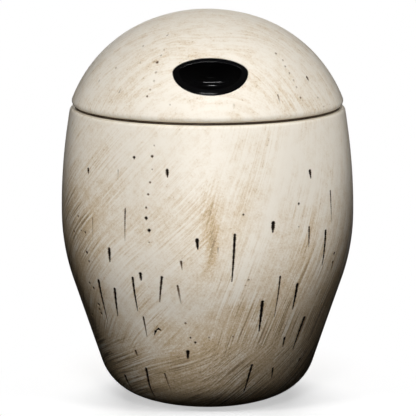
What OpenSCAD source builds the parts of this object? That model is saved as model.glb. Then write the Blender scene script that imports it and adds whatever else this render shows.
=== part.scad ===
// Domed cookie jar: a slip-cast pot, a lift-off lid with a black finger cup in its front,
// and the soft seal that rides on the lid's flange and rests on the pot's rim.
// Millimetres, +Z up, origin on the jar's axis at the foot. The finger cup faces -Y.

/* [Jar] */
// Widest diameter of the pot
belly_d = 184.4; // [170:0.2:200]
// Height of the widest part above the foot
belly_z = 116; // [108:1:124]
// Height of the flat rim above the foot
jar_h = 183.5; // [176:0.5:192]
// Radius of the long curve from the belly up to the rim
upper_curve_r = 365; // [300:5:450]
// Radius of the curve from the belly down to the taper
lower_curve_r = 131; // [110:1:150]
// Lean of the straight taper below the belly, in degrees from upright
taper_deg = 18.2; // [15:0.1:21]
// Radius of the round corner between the taper and the foot
foot_curve_r = 31; // [24:1:36]
// Wall thickness of the pot
jar_wall = 6.5; // [5.5:0.1:8]
// Width of the bare foot ring
foot_ring_w = 6.5; // [4:0.5:9]
// Depth of the hollow inside the foot ring
foot_hollow = 1.5; // [1:0.1:2.5]
// Height sponged off the round edges of rim and lid to make them flat
edge_flat = 0.6; // [0.4:0.1:1]

/* [Lid] */
// Height of the dome above the lid's flat underside
dome_h = 58.8; // [54:0.2:62]
// Radius of the flatter curve over the crown
crown_r = 101; // [92:1:125]
// Width of the crown, where the rounder flank begins
crown_w = 68; // [50:1:84]
// Wall thickness of the lid
lid_wall = 6.5; // [5.5:0.1:8]
// Distance that the lid's edge lies inside the pot's rim
lid_inset = 1.5; // [1:0.1:2.5]
// Thickness of the flange that hangs in the pot's mouth
flange_t = 4; // [3:0.2:6]
// Depth of the flange below the pot's rim
flange_depth = 10; // [8:0.5:14]
// Radius of the bead near the flange's end that keeps the seal on
flange_bead_r = 0.7; // [0.5:0.1:0.9]

/* [Finger cup] */
// Length of the cup across the front
cup_l = 46; // [40:0.2:52]
// Height of the cup's egg shape above its widest line, up the dome's slope
cup_rise = 9.4; // [8:0.2:12]
// Height of the cup's egg shape below its widest line, down the dome's slope
cup_drop = 18.2; // [15:0.2:20]
// Half of the egg shape's depth, square to the dome
cup_half_depth = 14.2; // [12:0.2:16]
// Angle of the dome's slope at the cup's widest line, in degrees above level
cup_deg = 42; // [38:0.2:46]
// Depth of the cup's centre under the dome's surface
cup_sink = 6.9; // [5:0.1:8]
// Wall thickness of the cup
cup_wall = 2.8; // [2:0.1:3.5]
// Joint line between the cup and the lid's opening
cup_gap = 0.2; // [0.1:0.05:0.3]

/* [Seal] */
// Thickness of the seal's shelf and sleeve
seal_t = 1.5; // [1.2:0.1:2]
// Distance that the shelf's edge lies inside the middle of the rim
shelf_inset = 0.1; // [0:0.1:0.6]
// Reach of each fin beyond the sleeve
fin_reach = 1.4; // [1:0.1:2]
// Thickness of a fin at its root
fin_t = 1.2; // [0.8:0.1:1.6]
// Thickness of a fin at its tip
fin_tip_t = 0.6; // [0.4:0.1:0.8]
// Height of a fin's tip above its root
fin_rise = 1.2; // [0.8:0.1:1.6]
// Space between the fins and the pot's mouth
mouth_gap = 0.4; // [0.3:0.05:0.8]
// Space between the sleeve and the lid's flange
sleeve_gap = 0.3; // [0.2:0.05:0.5]
// Number of fins
fin_count = 2; // [1:1:2]

/* [Hidden] */

cream_glaze = [0.89, 0.85, 0.77];
black_glaze = [0.03, 0.03, 0.03];
brown_silicone = [0.17, 0.11, 0.06];

turn_facets = 56;
long_facets = 120;
mid_facets = 56;
short_facets = 40;
edge_facets = 16;
// Reach of a cutting shape beyond what it cuts
overlap = 1;
// Set-back of one curve behind the next, so that the two cross cleanly where they meet
blend = 0.02;
// Length by which two blended curves run on past their meeting point
lap = 6;

// Unit vector in the section plane at an angle above level
function heading(deg) = [cos(deg), sin(deg)];

// Radius of the circle that leaves a point along a normal and passes a second point at a distance
function tangent_r(start, normal, end, distance) =
    let (span = start - end)
    (span * span - distance * distance) / (2 * (normal * span - distance));

// Pot section: two arcs that meet upright at the belly, a taper, a round corner and a flat base
belly_r = belly_d / 2;
upper_c = [belly_r - upper_curve_r, belly_z];
lower_c = [belly_r - lower_curve_r, belly_z];
taper_top = lower_c + lower_curve_r * heading(-taper_deg);
foot_c_r = taper_top[0] - (taper_top[1] - foot_curve_r) * tan(taper_deg)
    - foot_curve_r / cos(taper_deg);
foot_c = [foot_c_r, foot_curve_r];
taper_end = foot_c + foot_curve_r * heading(-taper_deg);
taper_len = norm(taper_top - taper_end);
rim_z = jar_h + edge_flat - jar_wall / 2;
rim_deg = asin((rim_z - belly_z) / (upper_curve_r - jar_wall / 2));
rim_c = upper_c + (upper_curve_r - jar_wall / 2) * heading(rim_deg);
mouth_r = rim_c[0] - jar_wall / 2;

// Lid section: a crown about the axis that runs into a flank with a round edge
lid_z = jar_h + seal_t;
edge_c = [rim_c[0] - lid_inset, lid_z + lid_wall / 2 - edge_flat];
crown_c = [0, lid_z + dome_h - crown_r];
join_deg = acos(crown_w / 2 / crown_r);
join = crown_c + crown_r * heading(join_deg);
flank_r = tangent_r(join, heading(join_deg), edge_c, lid_wall / 2);
flank_c = join - (flank_r - blend) * heading(join_deg);
edge_deg = atan2(edge_c[1] - flank_c[1], edge_c[0] - flank_c[0]);

// Seal and flange radii follow from the pot's mouth
fin_r = mouth_r - mouth_gap;
sleeve_r = fin_r - fin_reach;
sleeve_in_r = sleeve_r - seal_t;
flange_r = sleeve_in_r - sleeve_gap;
flange_in_r = flange_r - flange_t;
flange_end_z = jar_h - flange_depth + flange_t / 2;
bead_z = flange_end_z + flange_bead_r;
sleeve_end_z = bead_z + flange_bead_r + sleeve_gap;
shelf_r = rim_c[0] - shelf_inset;
fin_pitch = (jar_h - sleeve_end_z) / fin_count;

// Centre of the finger cup: distance from the axis and height
cup_c = flank_c + (flank_r - cup_sink) * heading(cup_deg);

// Rectangle in the section plane from its lower left to its upper right corner
module panel(low, high) {
    translate(low)
        square(high - low);
}

// Filled section of the pot, set in from the outside by the given thickness
module pot_outline(inset) {
    outward = heading(-taper_deg);
    taper_hi = taper_top - (inset + blend) * outward;
    taper_lo = taper_end - (inset + blend) * outward;
    intersection() {
        translate(upper_c)
            circle(upper_curve_r - inset, $fn = long_facets);
        panel([0, belly_z], [belly_r, jar_h + overlap]);
    }
    intersection() {
        translate(lower_c)
            circle(lower_curve_r - inset, $fn = mid_facets);
        panel([0, taper_hi[1] - lap], [belly_r, belly_z]);
    }
    polygon([[0, taper_lo[1]], taper_lo, taper_hi, [0, taper_hi[1]]]);
    intersection() {
        translate(foot_c)
            circle(foot_curve_r - inset, $fn = short_facets);
        panel([foot_c[0], 0], [belly_r, taper_lo[1] + lap / 2]);
    }
    panel([0, inset], [foot_c[0], taper_lo[1] + lap / 2]);
}

// Uniform pot wall up to the rim, and the rim's round edge cut flat for the lid
module pot_section() {
    reach = 2 * upper_curve_r;
    intersection() {
        difference() {
            pot_outline(0);
            pot_outline(jar_wall);
        }
        polygon([upper_c, upper_c - [0, reach], upper_c + [reach, -reach], upper_c + reach * heading(rim_deg)]);
    }
    intersection() {
        translate(rim_c)
            circle(jar_wall / 2 + blend, $fn = edge_facets);
        panel([0, belly_z], [belly_r, jar_h]);
    }
}

// One-piece pot with a shallow hollow under the base that leaves a bare foot ring
module jar_body() {
    color(cream_glaze)
        difference() {
            rotate_extrude($fn = turn_facets)
                pot_section();
            translate([0, 0, -overlap])
                cylinder(r = foot_c[0] - foot_ring_w, h = foot_hollow + overlap, $fn = turn_facets);
        }
}

// Filled section of the dome, set in from the outside by the given thickness
module dome_outline(inset) {
    join_r = crown_c[0] + (crown_r - inset) * cos(join_deg);
    top_z = lid_z + dome_h + overlap;
    intersection() {
        translate(crown_c)
            circle(crown_r - inset, $fn = mid_facets);
        panel(crown_c, [join_r, top_z]);
    }
    intersection() {
        translate(flank_c)
            circle(flank_r - inset, $fn = mid_facets);
        panel([join_r - 2 * lap, crown_c[1]], [belly_r, top_z]);
    }
}

// Dome wall, round edge with a flat underside, seat ledge, and flange with the bead for the seal
module lid_section() {
    reach = 2 * flank_r;
    intersection() {
        difference() {
            dome_outline(0);
            dome_outline(lid_wall);
        }
        polygon([
            flank_c - reach * heading(edge_deg),
            flank_c + reach * heading(edge_deg),
            flank_c + [reach, reach],
            flank_c + [-reach, reach]
        ]);
    }
    intersection() {
        translate(edge_c)
            circle(lid_wall / 2 + blend, $fn = edge_facets);
        panel([0, lid_z], [belly_r, lid_z + dome_h]);
    }
    intersection() {
        translate(flank_c)
            circle(flank_r - lid_wall / 2, $fn = mid_facets);
        panel([flange_in_r, lid_z], [edge_c[0], lid_z + dome_h]);
    }
    panel([flange_in_r, flange_end_z], [flange_r, lid_z + overlap]);
    translate([flange_in_r + flange_t / 2, flange_end_z])
        circle(flange_t / 2 + blend, $fn = edge_facets);
    translate([flange_r, bead_z])
        circle(flange_bead_r, $fn = edge_facets);
}

// Egg shape of the finger cup, grown or shrunk all round: a low ellipsoid above the widest line,
// and the lower half of a taller one below it
module cup_egg(grow) {
    above = [cup_l / 2 + grow - blend, cup_rise + grow, cup_half_depth + grow - blend];
    below = [cup_l / 2 + grow, cup_drop + grow, cup_half_depth + grow];
    translate([0, -cup_c[0], cup_c[1]])
        rotate([90 - cup_deg, 0, 0]) {
            scale(above)
                sphere(1, $fn = short_facets);
            intersection() {
                scale(below)
                    sphere(1, $fn = short_facets);
                translate([-cup_l, -cup_l, -cup_l])
                    cube([2 * cup_l, cup_l, 2 * cup_l]);
            }
        }
}

// Hollow dome with the opening that the finger cup is set in
module lid() {
    color(cream_glaze)
        difference() {
            rotate_extrude($fn = turn_facets)
                lid_section();
            cup_egg(cup_gap);
        }
}

// Black cup set in the lid's opening, its rim flush with the dome
module finger_cup() {
    color(black_glaze)
        intersection() {
            difference() {
                cup_egg(0);
                cup_egg(-cup_wall);
            }
            rotate_extrude($fn = turn_facets)
                dome_outline(0);
        }
}

// One fin of the seal, thick at the sleeve and thin at its tip, leaning up towards the rim
module seal_fin(root_z) {
    polygon([
        [sleeve_r - seal_t / 2, root_z],
        [sleeve_r, root_z],
        [fin_r, root_z + fin_rise],
        [fin_r, root_z + fin_rise + fin_tip_t],
        [sleeve_r, root_z + fin_t],
        [sleeve_r - seal_t / 2, root_z + fin_t]
    ]);
}

// Soft ring: a shelf between lid and rim, a sleeve round the flange, and fins towards the mouth
module lid_seal() {
    color(brown_silicone)
        rotate_extrude($fn = turn_facets) {
            translate([sleeve_in_r, jar_h])
                square([shelf_r - sleeve_in_r, seal_t]);
            translate([sleeve_in_r, sleeve_end_z])
                square([seal_t, lid_z - sleeve_end_z]);
            for (i = [0 : fin_count - 1])
                seal_fin(sleeve_end_z + i * fin_pitch);
        }
}

jar_body();
lid();
finger_cup();
lid_seal();
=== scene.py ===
"""Domed cookie jar: slip-cast pot, lift-off lid, black finger cup and soft seal, dressed for a picture."""

import bpy
import numpy as np
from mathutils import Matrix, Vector


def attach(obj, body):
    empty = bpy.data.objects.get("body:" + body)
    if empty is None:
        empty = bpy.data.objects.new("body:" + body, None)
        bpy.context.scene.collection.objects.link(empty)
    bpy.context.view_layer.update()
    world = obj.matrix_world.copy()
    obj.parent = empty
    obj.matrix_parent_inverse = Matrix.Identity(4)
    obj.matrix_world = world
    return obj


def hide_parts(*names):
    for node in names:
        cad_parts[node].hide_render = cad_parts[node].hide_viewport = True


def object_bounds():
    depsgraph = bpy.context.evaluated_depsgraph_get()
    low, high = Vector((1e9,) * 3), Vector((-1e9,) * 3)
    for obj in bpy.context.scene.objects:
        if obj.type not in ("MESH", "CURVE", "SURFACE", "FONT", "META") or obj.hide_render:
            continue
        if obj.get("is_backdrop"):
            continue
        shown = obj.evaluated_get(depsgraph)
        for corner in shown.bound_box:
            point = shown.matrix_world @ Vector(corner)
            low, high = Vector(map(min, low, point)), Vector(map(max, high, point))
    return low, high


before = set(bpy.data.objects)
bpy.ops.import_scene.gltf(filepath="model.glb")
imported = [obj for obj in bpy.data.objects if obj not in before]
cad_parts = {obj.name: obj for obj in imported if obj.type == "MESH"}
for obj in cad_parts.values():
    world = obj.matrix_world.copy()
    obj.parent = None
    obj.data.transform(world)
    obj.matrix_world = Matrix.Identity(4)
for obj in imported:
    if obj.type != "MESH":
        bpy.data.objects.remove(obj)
cad_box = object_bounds()

# The view: a long lens 1.2 m away that looks down on the jar by eleven degrees, a degree to the left of
# the finger cup. Marks on the glaze are placed by the point of the 416 pixel picture where they show.
MM = 0.001
PICTURE_SIDE = 416
AXIS_PX = np.array([207.5, 208.0])
LENS_PX = 1894.0
SENSOR_WIDTH = 36.0
AIM = np.array([0.0, 0.0, 118.0])
EYE_DISTANCE = 1200.0
EYE_DEG = 11.19
EYE_TURN_DEG = -1.45
PX = EYE_DISTANCE / LENS_PX

turn, lift = np.radians([EYE_TURN_DEG, EYE_DEG])
to_eye = np.array([np.sin(turn) * np.cos(lift), -np.cos(turn) * np.cos(lift), np.sin(lift)])
eye = AIM + EYE_DISTANCE * to_eye
eye_right = np.array([np.cos(turn), np.sin(turn), 0.0])
eye_up = np.cross(eye_right, -to_eye)


def put(name, data):
    """A new object in the scene, at the origin."""
    thing = bpy.data.objects.new(name, data)
    bpy.context.scene.collection.objects.link(thing)
    return thing


camera = put("view", bpy.data.cameras.new("view"))
camera.data.sensor_fit = "HORIZONTAL"
camera.data.sensor_width = SENSOR_WIDTH
camera.data.lens = LENS_PX / PICTURE_SIDE * SENSOR_WIDTH
camera.data.shift_x = 0.5 - AXIS_PX[0] / PICTURE_SIDE
camera.location = Vector(eye * MM)
camera.rotation_euler = Vector(-to_eye).to_track_quat("-Z", "Y").to_euler()
bpy.context.scene.camera = camera

# The pot: slip-cast pale stoneware of even thickness, rounded down to a bare foot ring. Slits and dots are
# pressed into it, brown wash is brushed on and wiped off again, and a satin glaze is fired over both. Along
# its left and right edges, most of all low down, the brown also paints shade.
BELLY_R = 92.2
BELLY_Z = 116.0
RIM_Z = 183.5
UPPER_CURVE_R = 365.0
LOWER_CURVE_R = 131.0
TAPER_DEG = 18.2
FOOT_CURVE_R = 31.0
WALL = 6.5
FOOT_RING_W = 6.5
FOOT_HOLLOW = 1.5
FOOT_ROUND = 0.5
EDGE_FLAT = 0.6
POLE_R = 1.0
RIM_CELLS = 4
AROUND = 150
# A cell is split again while a mark's edge is nearer than this, so only the marks have fine cells
SPLIT_REACH = (3.6, 1.7, 0.75, 0.22)
FINEST = len(SPLIT_REACH)


def heading(deg):
    """Unit vector in the section plane at an angle above level: cosine outward, sine upward."""
    rad = np.radians(deg)
    return np.stack([np.cos(rad), np.sin(rad)], -1)


def arc(centre, radius, start_deg, end_deg, cells):
    """Part of a section on a circle: centre plus radius times the heading of an evenly turning angle."""
    way = np.sign(end_deg - start_deg)

    def walk(t):
        out = heading(start_deg + (end_deg - start_deg) * t)
        return np.asarray(centre) + radius * out, way * out

    return cells, walk


def line(start, end, cells):
    """Straight part of a section: start plus a share of the way to the end; the normal is on its right."""
    start = np.asarray(start, float)
    span = np.asarray(end, float) - start
    normal = np.array([span[1], -span[0]]) / np.hypot(*span)

    def walk(t):
        return start + span * t[:, None], np.tile(normal, (len(t), 1))

    return cells, walk


def walk_section(section, v):
    """Points and normals (radius, height) along a section, where v counts its cells from the start."""
    points = np.empty(v.shape + (2,))
    normals = np.empty(v.shape + (2,))
    first = 0
    for cells, walk in section:
        here = (v >= first) & (v <= first + cells)
        points[here], normals[here] = walk((v[here] - first) / cells)
        first += cells
    return points, normals


def turn_angle(u):
    """Angle from the front in radians: the share of the cells round the axis times a whole turn."""
    return u * 2 * np.pi / AROUND


def turned(section, u, v, sink=0.0):
    """A section turned about the axis: u counts cells from the front, and sink moves a point inward."""
    points, normals = walk_section(section, v)
    points = points - normals * np.reshape(sink, (-1, 1))
    angle = turn_angle(u)
    return np.stack([points[:, 0] * np.sin(angle), -points[:, 0] * np.cos(angle), points[:, 1]], 1)


def split_cells(along, near, left_out=False):
    """Cells of a grid that closes on itself in u, each split in four again and again where near() says so.

    Neighbours differ by one halving at most, and a cell takes the middle of a side on where the cell
    beyond it is split. Gives the corners' u and v, a finder of corner numbers, and the faces by corner count.
    """
    splits = []
    whole = ~np.broadcast_to(left_out, (AROUND, along))
    present = whole
    for level in range(FINEST):
        i, j = np.nonzero(present)
        want = np.zeros_like(present)
        want[i, j] = near(level, (i + 0.5) / 2**level, (j + 0.5) / 2**level)
        splits.append(want)
        present = want.repeat(2, 0).repeat(2, 1)
    for level in range(FINEST - 1, 0, -1):
        grown = splits[level] | np.roll(splits[level], 1, 0) | np.roll(splits[level], -1, 0)
        spread = np.pad(grown, ((0, 0), (1, 1)))
        grown = spread[:, :-2] | spread[:, 1:-1] | spread[:, 2:]
        across, up = splits[level - 1].shape
        splits[level - 1] |= grown.reshape(across, 2, up, 2).any((1, 3))
    rows = along * 2**FINEST + 1
    faces = {}
    present = whole
    for level in range(FINEST + 1):
        half = 2 ** (FINEST - level) / 2
        split = splits[level] if level < FINEST else np.zeros_like(present)
        low, high = (np.pad(split, ((0, 0), (1, 1)))[:, at : at + split.shape[1]] for at in (0, 2))
        # Which of a cell's four sides touch a split cell, one bit for each, so there are sixteen patterns
        sides = low + 2 * np.roll(split, -1, 0) + 4 * high + 8 * np.roll(split, 1, 0)
        for pattern in range(16):
            i, j = np.nonzero(present & ~split & (sides == pattern))
            steps = [(0, 0), (1, 0), (2, 0), (2, 1), (2, 2), (1, 2), (0, 2), (0, 1)]
            kept = [s for k, s in enumerate(steps) if k % 2 == 0 or pattern >> (k // 2) & 1]
            u = np.stack([(2 * i + a) * half for a, _ in kept], 1) % (AROUND * 2**FINEST)
            v = np.stack([(2 * j + b) * half for _, b in kept], 1)
            faces.setdefault(len(kept), []).append((u * rows + v).astype(np.int64))
        present = split.repeat(2, 0).repeat(2, 1)
    faces = {count: np.concatenate(found) for count, found in faces.items()}
    used = np.unique(np.concatenate([found.ravel() for found in faces.values()]))

    def corner(u, v):
        key = np.round(u % AROUND * 2**FINEST) * rows + np.round(v * 2**FINEST)
        return np.searchsorted(used, key.astype(np.int64))

    numbered = [np.searchsorted(used, found) for found in faces.values()]
    return used // rows / 2**FINEST, used % rows / 2**FINEST, corner, numbered


def pole_fan(ring, pole, outward):
    """Triangles from a ring of corner numbers to a pole on the axis."""
    following = np.roll(ring, -1)
    sides = (ring, following) if outward else (following, ring)
    return np.stack([*sides, np.full_like(ring, pole)], 1)


def close_poles(faces, u, v, cells, first_pole):
    """Adds the fans from the first and the last ring of a turned grid to its two poles."""
    for edge, pole, outward in ((0, first_pole, False), (cells, first_pole + 1, True)):
        ring = np.nonzero(v == edge)[0]
        faces.append(pole_fan(ring[np.argsort(u[ring])], pole, outward))


def add_piece(name, points, faces, values):
    """A smooth mesh object from points in millimetres, arrays of faces, and named numbers on the points."""
    mesh = bpy.data.meshes.new(name)
    mesh.from_pydata((points * MM).tolist(), [], [face for group in faces for face in group.tolist()])
    for key, numbers in values.items():
        mesh.attributes.new(key, "FLOAT", "POINT").data.foreach_set("value", numbers.astype(np.float32))
    mesh.polygons.foreach_set("use_smooth", np.ones(len(mesh.polygons), bool))
    mesh.update()
    return put(name, mesh)


belly_top = np.array([BELLY_R - UPPER_CURVE_R, BELLY_Z])
belly_low = np.array([BELLY_R - LOWER_CURVE_R, BELLY_Z])
taper_out = heading(-TAPER_DEG)
taper_top = belly_low + LOWER_CURVE_R * taper_out
foot_r = taper_top[0] - (taper_top[1] - FOOT_CURVE_R) * np.tan(np.radians(TAPER_DEG)) \
    - FOOT_CURVE_R / np.cos(np.radians(TAPER_DEG))
foot_c = np.array([foot_r, FOOT_CURVE_R])
taper_end = foot_c + FOOT_CURVE_R * taper_out
rim_deg = np.degrees(np.arcsin((RIM_Z + EDGE_FLAT - WALL / 2 - BELLY_Z) / (UPPER_CURVE_R - WALL / 2)))
rim_c = belly_top + (UPPER_CURVE_R - WALL / 2) * heading(rim_deg)
flat_deg = np.degrees(np.arcsin((RIM_Z - rim_c[1]) / (WALL / 2)))
ring_r = foot_r - FOOT_RING_W
taper_in = WALL * taper_out

pot_foot = [
    line((POLE_R, FOOT_HOLLOW), (ring_r, FOOT_HOLLOW), 8),
    line((ring_r, FOOT_HOLLOW), (ring_r, FOOT_ROUND), 2),
    arc((ring_r + FOOT_ROUND, FOOT_ROUND), FOOT_ROUND, 180, 270, 3),
    line((ring_r + FOOT_ROUND, 0), (foot_r, 0), 2),
]
pot_outside = [
    arc(foot_c, FOOT_CURVE_R, -90, -TAPER_DEG, 12),
    line(taper_end, taper_top, 15),
    arc(belly_low, LOWER_CURVE_R, -TAPER_DEG, 0, 11),
    arc(belly_top, UPPER_CURVE_R, 0, rim_deg, 18),
]
pot_inside = [
    arc(rim_c, WALL / 2, rim_deg, flat_deg, RIM_CELLS),
    line(rim_c + WALL / 2 * heading(flat_deg), rim_c + WALL / 2 * heading(180 - flat_deg), 2),
    arc(rim_c, WALL / 2, 180 - flat_deg, 180 + rim_deg, RIM_CELLS),
    arc(belly_top, UPPER_CURVE_R - WALL, rim_deg, 0, 12),
    arc(belly_low, LOWER_CURVE_R - WALL, 0, -TAPER_DEG, 8),
    line(taper_top - taper_in, taper_end - taper_in, 10),
    arc(foot_c, FOOT_CURVE_R - WALL, -TAPER_DEG, -90, 8),
    line((foot_r, WALL), (POLE_R, WALL), 8),
]
pot_section = pot_foot + pot_outside + pot_inside


def cell_count(section):
    """Number of cells along a section."""
    return sum(cells for cells, _ in section)


def sight(pixels):
    """Rays from the lens through points of the picture: the focal length forward plus the offset sideways."""
    offset = np.asarray(pixels, float) - AXIS_PX
    rays = -to_eye * LENS_PX + offset[:, :1] * eye_right - offset[:, 1:] * eye_up
    return rays / np.linalg.norm(rays, axis=1, keepdims=True)


def wrapped(angle):
    """The same angle within half a turn of nothing."""
    return (angle + np.pi) % (2 * np.pi) - np.pi


SIGHT_NEAR = 130
SIGHT_FAR = 100
SIGHT_STEPS = 2301
WALL_SAMPLES = 4000
SECTION_SAMPLES = 8001
LEAST_LENGTH = 1e-6
MOST_ASLANT = 0.25
MARK_REACH = 1.0
TIP_TAPER = 0.6
TEAR_CLOSE = 0.13
TEAR_CLOSE_WAVE = 5.3
TEAR_CLOSE_START = 90
TEAR_SLOW = 0.12
TEAR_SLOW_WAVE = 1.7
GROOVE_SPREAD = 1.25
GROOVE_SHARP = 1.5
GROOVE_DEPTH = 0.95
STAIN_LASTS = 1.15
STAIN_SPREAD = 1.5
STAIN_SOFT = 0.9


class Marks:
    """Pressed marks on a turned wall, each a straight stroke between two places on the unrolled surface.

    A stroke's place is the angle from the front and the length s along the section; its width shrinks
    towards the end. Distances are measured on the surface rolled out flat at the stroke's own radius.
    """

    def __init__(self, section, first, last):
        self.section, self.first, self.last = section, first, last
        self.fine_v = np.linspace(0, cell_count(section), SECTION_SAMPLES)
        points, _ = walk_section(section, self.fine_v)
        self.fine_r = points[:, 0]
        steps = np.hypot(*np.diff(points, axis=0).T)
        self.fine_s = np.concatenate([[0], np.cumsum(steps)])
        self.strokes = []

    def length_at(self, v):
        """Length along the section up to v, in millimetres."""
        return np.interp(v, self.fine_v, self.fine_s)

    def met(self, pixels):
        """Angle from the front (radians) and v where sight rays first meet the wall.

        Walks along each ray in short steps until its distance from the axis is under the wall's radius there.
        """
        v = np.linspace(self.first, self.last, WALL_SAMPLES)
        wall, _ = walk_section(self.section, v)
        way = np.argsort(wall[:, 1])
        steps = np.linspace(EYE_DISTANCE - SIGHT_NEAR, EYE_DISTANCE + SIGHT_FAR, SIGHT_STEPS)
        points = eye + sight(pixels)[:, None] * steps[:, None]
        reach = np.interp(points[..., 2], wall[way, 1], wall[way, 0])
        inside = np.hypot(points[..., 0], points[..., 1]) < reach
        hit = points[np.arange(len(points)), inside.argmax(1)]
        return np.arctan2(hit[:, 0], -hit[:, 1]), np.interp(hit[:, 2], wall[way, 1], v[way])

    def seen(self, rows):
        """Adds strokes read from the picture: x, y, end x, end y, width in pixels, darkness.

        Where the wall turns away from the eye a stroke is wider than it looks, by the root of the cosine.
        """
        rows = np.asarray(rows, float)
        angle, v = self.met(rows[:, :2])
        end_angle, end_v = self.met(rows[:, 2:4])
        aslant = np.sqrt(np.maximum(np.cos(angle), MOST_ASLANT))
        self.add(angle, v, end_angle, end_v, rows[:, 4] * PX / aslant, rows[:, 5])

    def add(self, angle, v, end_angle, end_v, width, dark):
        """Adds strokes between places on the wall, with widths in millimetres."""
        radius = np.interp((v + end_v) / 2, self.fine_v, self.fine_r)
        ends = self.length_at(v), self.length_at(end_v)
        self.strokes += np.stack([angle, ends[0], end_angle, ends[1], radius, width / 2, dark], 1).tolist()

    def measure(self, u, v, reach):
        """Nearest edge distance, pressed depth and stain at places on the wall, looked for within a reach.

        A stroke's half width shrinks with the square of the way along it, and two sines tear its edge. The
        groove is a hollow that rounds out over the edge, and the stain fades past it and towards the end.
        """
        angle = turn_angle(u)
        s = self.length_at(v)
        gap = np.full(len(u), np.inf)
        depth = np.zeros(len(u))
        stain = np.zeros(len(u))
        on_wall = (v > self.first) & (v < self.last)
        for from_a, from_s, to_a, to_s, radius, half, dark in self.strokes:
            span = np.array([(to_a - from_a) * radius, to_s - from_s])
            size = max(np.hypot(*span), LEAST_LENGTH)
            room = size + half + reach
            across = wrapped(angle - from_a)
            beside = (np.abs(across) * radius < room) & (np.abs(s - from_s) < room)
            near = np.nonzero(on_wall & beside)[0]
            at = np.stack([across[near] * radius, s[near] - from_s], 1)
            t = np.clip(at @ span / size**2, 0, 1)
            away = np.hypot(*(at - t[:, None] * span).T)
            close_tear = TEAR_CLOSE * np.sin(t * size * TEAR_CLOSE_WAVE + from_a * TEAR_CLOSE_START)
            slow_tear = TEAR_SLOW * np.sin(t * size * TEAR_SLOW_WAVE + from_s)
            here = half * (1 - TIP_TAPER * t**2) * (1 + close_tear + slow_tear)
            gap[near] = np.minimum(gap[near], away - here)
            groove = np.clip(1 - (away / (GROOVE_SPREAD * here)) ** 2, 0, 1) ** GROOVE_SHARP
            depth[near] = np.maximum(depth[near], GROOVE_DEPTH * half * np.sqrt(dark) * groove)
            soft_edge = np.clip((STAIN_SPREAD - away / here) / STAIN_SOFT, 0, 1)
            faded = dark * (1 - (STAIN_LASTS - dark) * t) * soft_edge
            stain[near] = np.maximum(stain[near], faded)
        return gap, depth, stain

    def near(self, level, u, v):
        """Whether a cell is split: its middle lies within its level's reach of a mark's edge."""
        gap, _, _ = self.measure(u, v, SPLIT_REACH[level])
        return gap < SPLIT_REACH[level]


def patch_bells(marks, patches, u, v):
    """Wash wiped on in soft patches, and on the pot painted shade at its edges too: a sum of bells on the
    unrolled surface, each turned to its stroke.

    A patch gives x, y, half length, half width (pixels), the stroke's angle above level, and its strength.
    """
    rows = np.asarray(patches, float)
    angle, at_v = marks.met(rows[:, :2])
    s = marks.length_at(v)
    total = np.zeros(len(u))
    for k, (_, _, length, width, deg, strength) in enumerate(rows):
        radius = np.interp(at_v[k], marks.fine_v, marks.fine_r)
        across = wrapped(turn_angle(u) - angle[k]) * radius
        rise = s - marks.length_at(at_v[k])
        way = heading(deg)
        along = across * way[0] + rise * way[1]
        aside = rise * way[0] - across * way[1]
        total += strength * np.exp(-((along / (length * PX)) ** 2) - (aside / (width * PX)) ** 2)
    return total


pot_from = cell_count(pot_foot)
pot_to = pot_from + cell_count(pot_outside)
pot_marks = Marks(pot_section, pot_from, pot_to)

# Slits of the picture, top to bottom end, as x, y, end x, end y, width and darkness
pot_marks.seen([
    (167, 170, 167.4, 177, 2.7, 0.85), (88, 169, 88.3, 174, 2, 0.8), (125, 208.6, 124.7, 241, 1.2, 0.7),
    (92.5, 218, 93, 248, 1, 0.4), (109, 249, 109.7, 262, 2.6, 1), (197, 240, 197.7, 249, 2.8, 0.95),
    (234.8, 235, 231.9, 281.5, 2, 1), (273.4, 223, 273, 232, 3.2, 1), (310, 171, 311, 178, 2.2, 0.9),
    (330.4, 191, 331.7, 222.5, 1.3, 0.7), (309.4, 227, 309, 247, 1.6, 0.8), (325.8, 231, 322.5, 265, 2, 1),
    (118, 170, 118, 183, 1, 0.35), (98.4, 280.5, 107.3, 322, 2.2, 0.9), (114.6, 289, 117.6, 316, 2.2, 1),
    (132.6, 278, 137.6, 311, 1.8, 0.9), (140.3, 274, 141, 280.5, 2.6, 0.9),
    (161.7, 277.6, 159.7, 302, 2, 0.8), (177.5, 286, 181, 304, 2, 0.55), (181, 262, 182, 270, 2, 0.6),
    (218, 248, 218, 256, 1.2, 0.4), (143.3, 317, 147, 337, 1.6, 0.7), (155.4, 331.6, 154.4, 335.2, 1.4, 0.9),
    (155.4, 331.6, 156.8, 329.8, 1.8, 1), (158.6, 329, 156.8, 329.8, 2, 1),
    (158.6, 329, 160.9, 330.6, 1.9, 1), (135.4, 351, 137, 356.6, 2.4, 0.7),
    (187.8, 352, 187.8, 359, 2.9, 0.9), (262.5, 302, 259.2, 331, 2.6, 1),
    (280.3, 276.6, 274.4, 317, 1.5, 0.75), (297.5, 284.5, 292.8, 309, 2.4, 1),
    (304.4, 318, 293.2, 348.7, 2.8, 1), (284.7, 338, 282.9, 347, 2, 0.9), (333, 262, 331.7, 270, 1.6, 0.7),
    (300, 358.6, 298, 363, 1.6, 0.7), (252, 365.5, 243.8, 392, 2, 0.95), (273, 368.5, 271.8, 378.4, 1.8, 0.8),
    (145.9, 368.5, 155.8, 398, 2.2, 0.8), (164.7, 374, 172.6, 394, 1.6, 0.5), (125, 376, 133, 390, 2, 0.8),
])

DOT_ABOVE = 0.4
DOT_LEAN = 0.1
DOT_BELOW = 1.0


def dots(rows):
    """Small drops as strokes of little length: x, y, width and darkness."""
    return [(x, y - DOT_ABOVE, x + DOT_LEAN, y + DOT_BELOW, width, dark) for x, y, width, dark in rows]


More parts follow.
